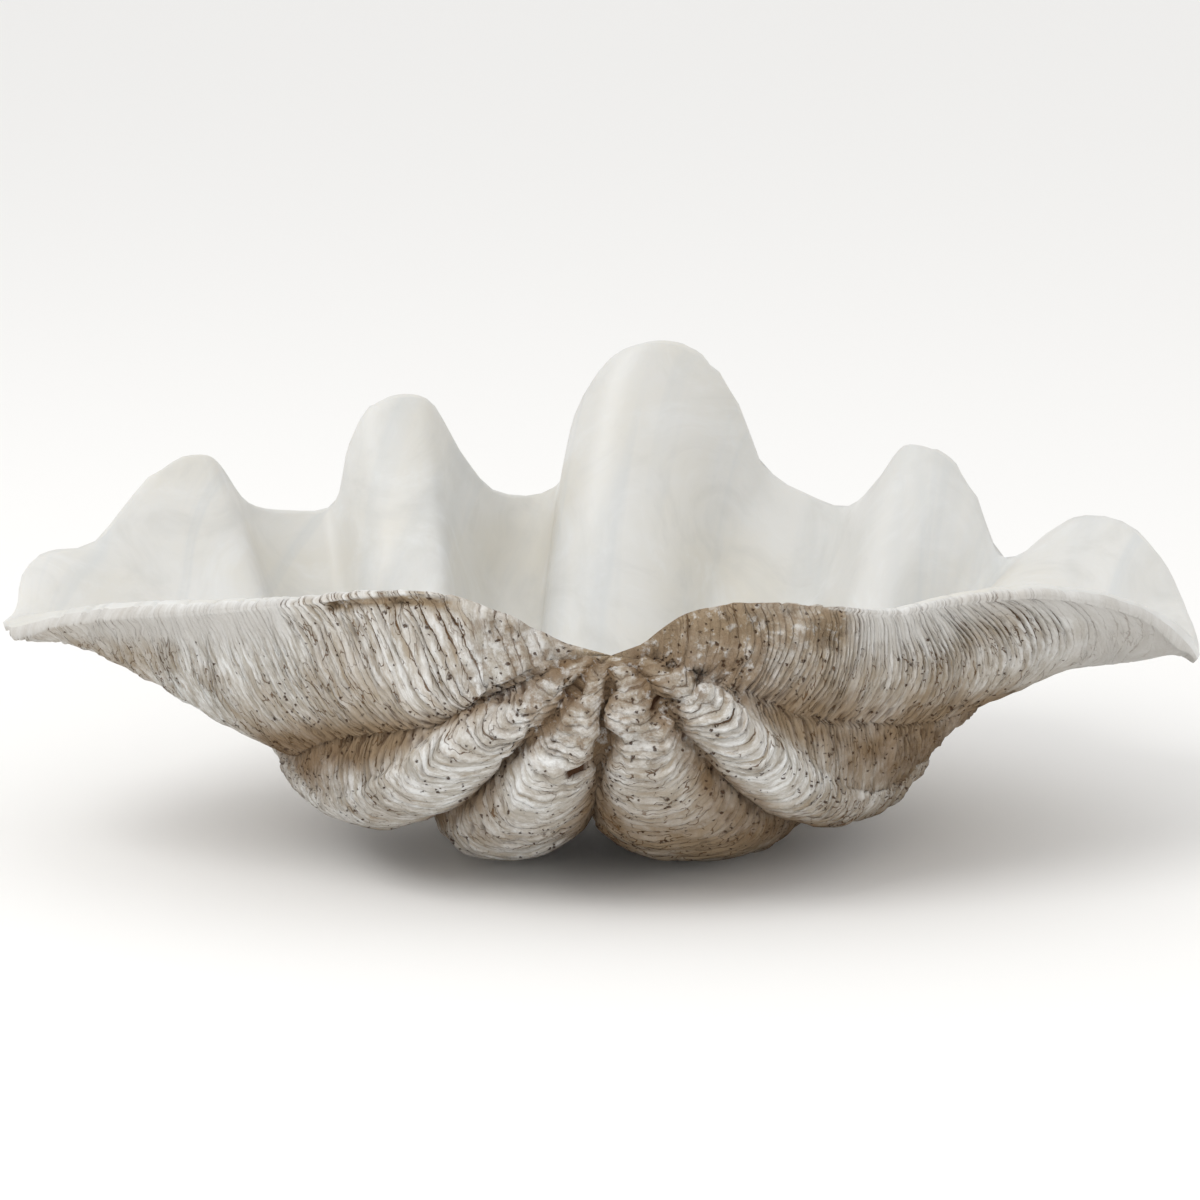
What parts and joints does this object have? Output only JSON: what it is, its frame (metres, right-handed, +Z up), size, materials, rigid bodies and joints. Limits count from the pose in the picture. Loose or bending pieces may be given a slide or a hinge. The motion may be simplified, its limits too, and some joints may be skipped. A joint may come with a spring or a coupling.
{
  "type": "giant clam half shell",
  "caption": "One valve of a giant clam lying open as a bowl: fluted lip with tall rounded tongues, smooth white inside, ribbed and ridged with growth layers outside.",
  "frame": {"origin": "on the floor, under the middle of the outline", "axes": "+X along the hinge towards the wing with the large last rib, -Y towards the hinge and umbo, +Z up out of the open bowl"},
  "size_m": [0.6815, 0.443, 0.2551],
  "materials": {
    "shell": "satin white inside, chalky and brown-stained outside"
  },
  "bodies": {
    "root": {"shell": "shell"}
  },
  "joints": []
}
